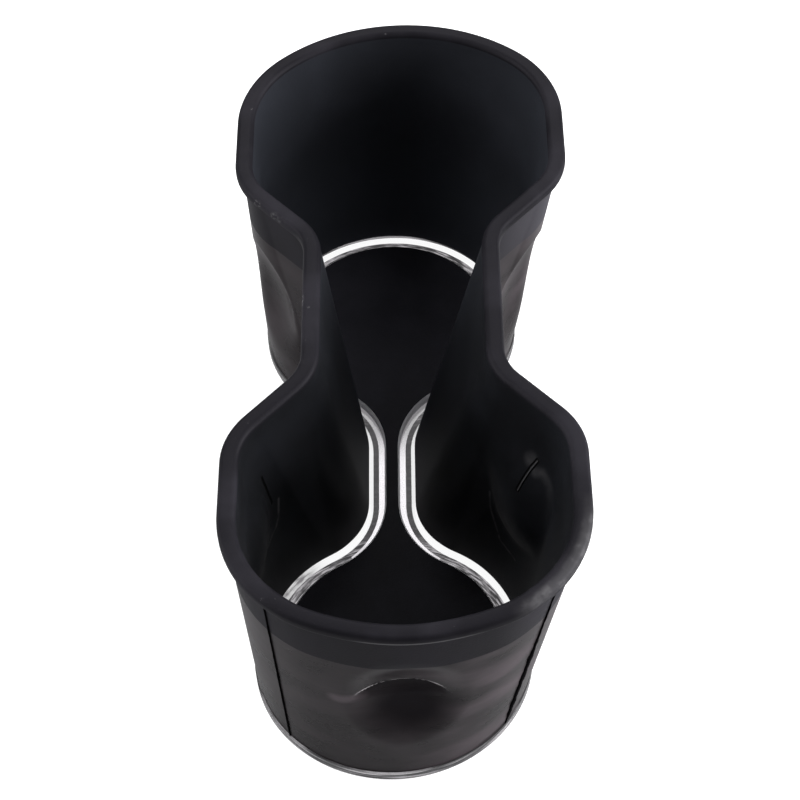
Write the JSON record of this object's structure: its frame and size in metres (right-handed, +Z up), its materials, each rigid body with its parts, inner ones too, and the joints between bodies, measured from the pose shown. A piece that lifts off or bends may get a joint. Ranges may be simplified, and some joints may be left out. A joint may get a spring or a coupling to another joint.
{
  "type": "car cup holder",
  "caption": "Cup holder insert for a car console: joined open rubber cups with a rolled lip and inward grip bumps, standing on a clear base tray with a loose floor mat.",
  "frame": {"origin": "under the middle of the rim, on the surface the part stands on", "axes": "+Z up, +Y along both cups towards the one without an end bump, +X towards the side that the rim overhangs"},
  "size_m": [0.096, 0.222, 0.086],
  "materials": {
    "liner_rubber": "matt above, smoother and cloudier below",
    "clear_plastic": "clear",
    "mat_rubber": "matt"
  },
  "bodies": {
    "root": {"rubber_liner": "liner_rubber", "clear_base_tray": "clear_plastic", "floor_mat": "mat_rubber"}
  },
  "joints": []
}
